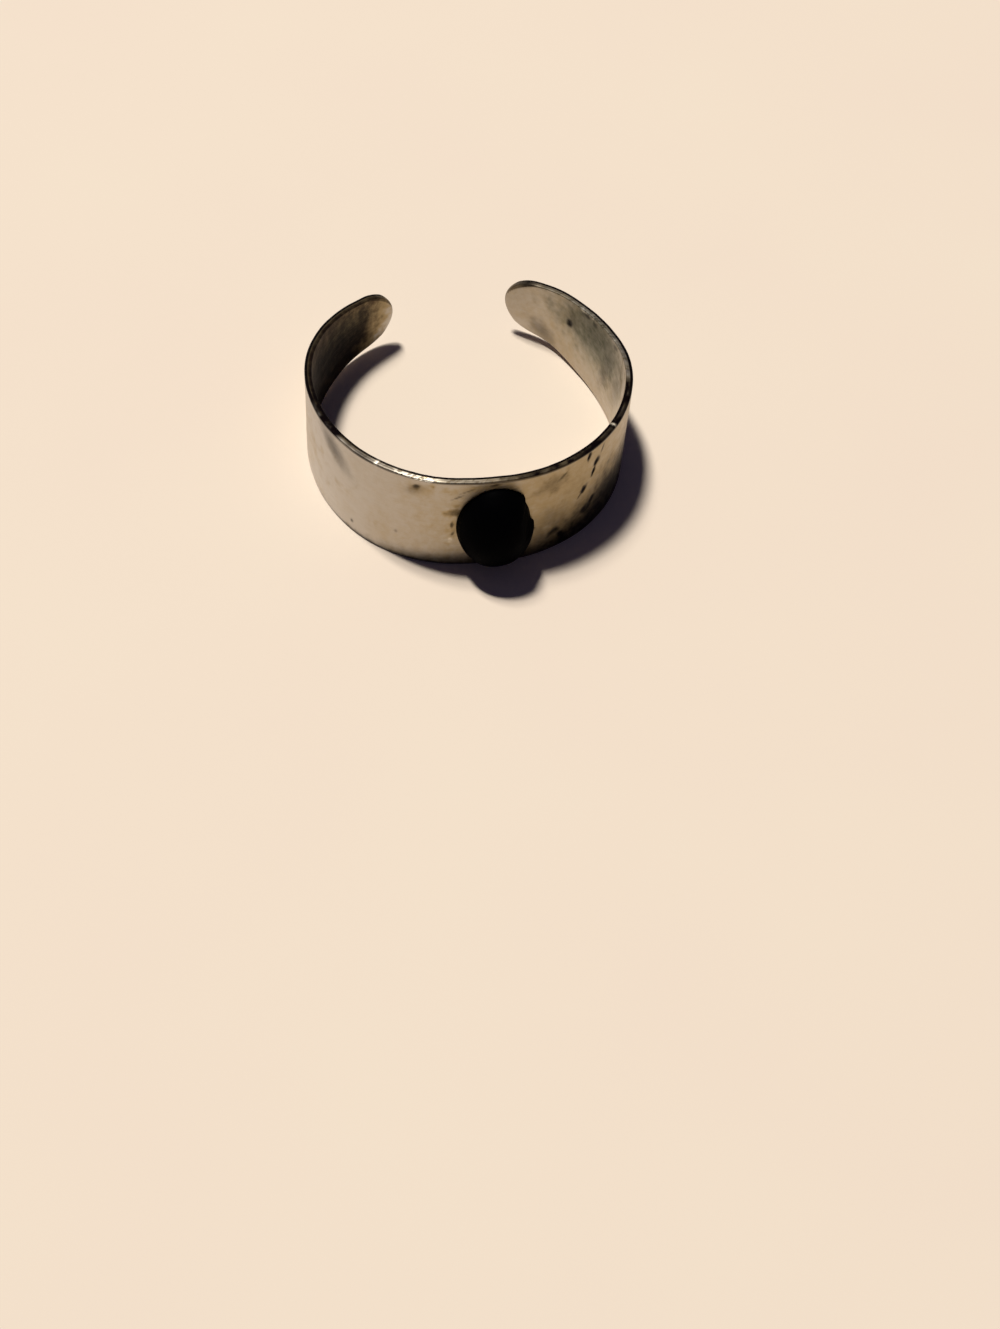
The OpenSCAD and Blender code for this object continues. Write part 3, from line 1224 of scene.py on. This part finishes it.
@dataclass
class Stone:
    """The black oval domed stone on the outside of the front, its long axis up the band.

    Args:
        front: Radius of the band's front, which the back of the stone follows.
        glue: Gap between the stone and the band.
        aside: Place of its middle, to the right of the front's middle.
        sides: Faces round the stone, before it is made finer.
        steps: Rings over a quarter of the dome's section.
        foot_ring: Place of one more ring, close to the foot, as a part of that quarter.
        back_rings: Size of each ring on the back, as a part of the ring before.
        finer: How often each face is split in four.
        hollowed: Height over which the hollow of the back runs out.
        worn: Heights above the back where the wear starts and where it is full.
        uneven: How far the worn surface strays from a true one.
        sunk: How far it lies inside the true one on the whole, as a part of the unevenness.
        bulges: Broad bulges, with the oval taken as a circle of radius 1.
        bulge_start: Place in their noise where the oval starts.
        bulge_climb: How much of their noise a millimetre of height takes.
        nicks: Small nicks, taken in the same way.
        nick_climb: How much of their noise a millimetre of height takes.
        nick_share: Values of their noise where a nick starts and where it is full.
        nick_deep: Depth of a nick, as a part of the unevenness.
        ripples: Unevenness of the dome's face.
        ripple_high: How high it is, as a part of the unevenness.
        chip: The worn flank.
        finish: What it is made of.
    """

    front: float = 15.0
    glue: float = 0.03
    aside: float = 0.0
    sides: int = 40
    steps: int = 8
    foot_ring: float = 0.02
    back_rings: tuple[float, ...] = (0.96, 0.7, 0.5)
    finer: int = 2
    hollowed: float = 0.6
    worn: tuple[float, float] = (0.1, 0.7)
    uneven: float = 0.05
    sunk: float = 0.4
    bulges: Lumps = Lumps(0.625, 2.5)
    bulge_start: float = 2.5
    bulge_climb: float = 0.625
    nicks: Lumps = Lumps(0.2, 6.5)
    nick_climb: float = 0.4
    nick_share: tuple[float, float] = (0.3, 0.6)
    nick_deep: float = 0.6
    ripples: Lumps = Lumps(0.9, 11.5)
    ripple_high: float = 0.4
    chip: Chip = Chip()
    finish: Finish = BlackOnyx()

    def build(self) -> bpy.types.Object:
        """Makes the stone in its place.

        Returns:
            The finished mesh object.
        """
        low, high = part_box("stone")
        middle = (low + high) / 2
        half = (high - low) / 2
        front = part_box("band")[0].y
        bpy.ops.mesh.primitive_circle_add(
            vertices=self.sides,
            radius=half.x,
            location=(middle.x, front, middle.z),
            rotation=(math.pi / 2, 0, 0),
        )
        stone = bpy.context.object
        stone.name = "black_stone"
        bpy.ops.object.transform_apply(location=True, rotation=True, scale=True)
        centre = Vector((middle.x, 0, middle.z))
        with editing(stone):
            bpy.ops.mesh.select_all(action="SELECT")
            bpy.ops.transform.resize(value=(1, 1, half.z / half.x), center_override=centre)
            last_scale, last_out = 1.0, 0.0
            for ring_scale, out in self.section((front - low.y) / MM):
                bpy.ops.mesh.extrude_region_move(
                    TRANSFORM_OT_translate={"value": (0, -(out - last_out) * MM, 0)}
                )
                scale = ring_scale / last_scale
                bpy.ops.transform.resize(value=(scale, 1, scale), center_override=centre)
                last_scale, last_out = ring_scale, out
            bpy.ops.mesh.edge_face_add()
            bpy.ops.mesh.poke()
            bpy.ops.mesh.select_all(action="SELECT")
            bpy.ops.mesh.region_to_loop()
            for inset in self.back_rings:
                bpy.ops.mesh.extrude_region_move(TRANSFORM_OT_translate={"value": (0, 0, 0)})
                bpy.ops.transform.resize(value=(inset, 1, inset), center_override=centre)
            bpy.ops.mesh.edge_face_add()
            bpy.ops.mesh.poke()
            bpy.ops.mesh.select_all(action="SELECT")
            bpy.ops.mesh.normals_make_consistent(inside=False)
        finish_with(stone, "SUBSURF", levels=self.finer, render_levels=self.finer)
        self.wear(stone, middle / MM, half / MM, front / MM)
        bpy.ops.object.shade_smooth()
        stone.data.materials.append(self.finish.material())
        return stone

    def wear(self, stone: bpy.types.Object, middle: Vector, half: Vector, front: float) -> None:
        """Makes the dome a little uneven, chips it and hollows its back to follow the band.

        Args:
            stone: The true stone, with a flat back.
            middle: Middle of the stone.
            half: Half its size each way.
            front: Place of the band's front along Y.
        """
        places = points_of(stone)
        across, rise = places[:, 0] - middle.x, places[:, 2] - middle.z
        out = front - places[:, 1]
        round_it = np.arctan2(rise / half.z, across / half.x)
        right, upwards = np.cos(round_it), np.sin(round_it)
        uneven = self.uneven * fade(out, *self.worn)
        bulge = self.bulges.over(right + self.bulge_start, upwards + self.bulge_climb * out)
        nicks = self.nicks.over(right, upwards + self.nick_climb * out)
        nicked = self.nick_deep * fade(nicks, *self.nick_share)
        shift = uneven * (bulge - self.sunk - nicked)
        chip, turned = self.chip, np.degrees(round_it)
        in_chip = fade(turned, chip.start, chip.start + chip.start_slope)
        in_chip *= fade(turned, chip.end + chip.end_slope, chip.end)
        near_rim = np.hypot(across / half.x, rise / half.z)
        shift -= chip.deep * in_chip * fade(near_rim, chip.inner, chip.outer)
        places[:, 0] += shift * right
        places[:, 2] += shift * upwards
        places[:, 1] += self.ripple_high * uneven * (1 + self.ripples.over(across, rise))
        hollow = self.front - np.sqrt((self.front + self.glue) ** 2 - (across + self.aside) ** 2)
        places[:, 1] += hollow * fade(out, self.hollowed, 0.0)
        set_points(stone, places)

    def section(self, tall: float) -> list[tuple[float, float]]:
        """Works out the rings of the dome.

        Args:
            tall: Height of the dome.

        Returns:
            Size, as a part of the foot's, and height of each ring, from the foot to near the top.
        """
        parts = (self.foot_ring, *(i / self.steps for i in range(1, self.steps)))
        angles = [part * math.pi / 2 for part in parts]
        return [(math.cos(angle), tall * math.sin(angle)) for angle in angles]


@dataclass(frozen=True)
class Lamp:
    """One lamp overhead.

    Args:
        lean_x: How far it stands to +X, for each unit of its height.
        lean_y: How far it stands to +Y, for each unit of its height.
        wide: Width of its panel.
        deep: Depth of its panel.
        power: Its power in watts.
    """

    lean_x: float
    lean_y: float
    wide: float
    deep: float
    power: float


@dataclass
class Studio:
    """The floor, the lights and the camera, set to the photograph's angle.

    Args:
        floor_radius: Radius of the floor.
        floor_sides: Sides of the floor's rim.
        camera_place: Place of the camera.
        pitch: Angle of the view below the horizon, in degrees.
        roll: Turn of the camera about its view, in degrees.
        yaw: Turn of the view from +Y towards -X, in degrees.
        lens: Focal length.
        clip: Nearest and farthest distance that the camera sees.
        lamp_height: Height of both lamps.
        lamps: The lamps.
        lamp_colour: Colour of their light, a warm white.
        fill_colour: Colour of the light from all round, a cool one.
        fill: Strength of that light.
        wall: Colour of the wall that shows where the floor ends. It gives no light.
        board: What the floor is made of.
    """

    floor_radius: float = 1500
    floor_sides: int = 96
    camera_place: tuple[float, float, float] = (-14.236, -69.878, 80.975)
    pitch: float = 54.543
    roll: float = 5.036
    yaw: float = -13.718
    lens: float = 54.176
    clip: tuple[float, float] = (10, 10000)
    lamp_height: float = 2000
    lamps: tuple[Lamp, ...] = (
        Lamp(-0.215, 0.18, 100, 300, 28),
        Lamp(-0.205, 0.27, 160, 420, 18),
    )
    lamp_colour: str = "FFF9F0"
    fill_colour: str = "CBC3FF"
    fill: float = 0.05
    wall: str = "E2D5C3"
    board: Finish = CreamBoard()

    def build(self) -> None:
        """Makes the whole stage."""
        self.lay_floor()
        self.hang_lamps()
        self.paint_room()
        self.set_camera()

    def lay_floor(self) -> None:
        """Lays the floor, a wide disc."""
        bpy.ops.mesh.primitive_circle_add(
            vertices=self.floor_sides,
            radius=self.floor_radius * MM,
            fill_type="NGON",
        )
        floor = bpy.context.object
        floor.name = "floor"
        floor.data.materials.append(self.board.material())

    def hang_lamps(self) -> None:
        """Hangs the lamps, each turned towards the origin."""
        for lamp in self.lamps:
            light = bpy.data.lights.new("overhead_lamp", "AREA")
            light.shape = "ELLIPSE"
            light.size, light.size_y = lamp.wide * MM, lamp.deep * MM
            light.energy = lamp.power
            light.color = linear(self.lamp_colour)[:3]
            hung = bpy.data.objects.new("overhead_lamp", light)
            hung.location = Vector((lamp.lean_x, lamp.lean_y, 1)) * self.lamp_height * MM
            hung.rotation_euler = hung.location.to_track_quat("Z", "Y").to_euler()
            bpy.context.scene.collection.objects.link(hung)

    def paint_room(self) -> None:
        """Gives the room a little cool light from all round, and a pale wall for the camera."""
        world = bpy.data.worlds.new("room")
        add = partial(add_node, emptied(world))
        fill = add("Background", {"Color": linear(self.fill_colour), "Strength": self.fill})
        wall = add("Background", {"Color": linear(self.wall)})
        seen = add("LightPath").outputs["Is Camera Ray"]
        add("OutputWorld", {"Surface": add("MixShader", (seen, fill, wall))})
        bpy.context.scene.world = world
        bpy.context.scene.view_settings.view_transform = "Standard"

    def set_camera(self) -> None:
        """Sets up the camera."""
        data = bpy.data.cameras.new("camera")
        data.lens = self.lens
        data.clip_start, data.clip_end = self.clip[0] * MM, self.clip[1] * MM
        camera = bpy.data.objects.new("camera", data)
        bpy.context.scene.collection.objects.link(camera)
        turn = (
            Matrix.Rotation(math.radians(self.yaw), 4, "Z")
            @ Matrix.Rotation(math.radians(90 - self.pitch), 4, "X")
            @ Matrix.Rotation(math.radians(self.roll), 4, "Z")
        )
        camera.matrix_world = Matrix.Translation(Vector(self.camera_place) * MM) @ turn
        bpy.context.scene.camera = camera


def main() -> None:
    """Builds the ring and its stage in order."""
    logging.basicConfig(level=logging.INFO, format="%(name)s: %(message)s")
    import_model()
    Studio().build()

    band = Band().build()
    stone = Stone().build()
    for piece, node, slot in ((band, "band", "band_silver"), (stone, "stone", "stone_black")):
        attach(piece, "root")
        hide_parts(node)
        LOG.info("%s: %d faces", piece.name, len(piece.data.polygons))


if __name__ == "__main__":
    main()
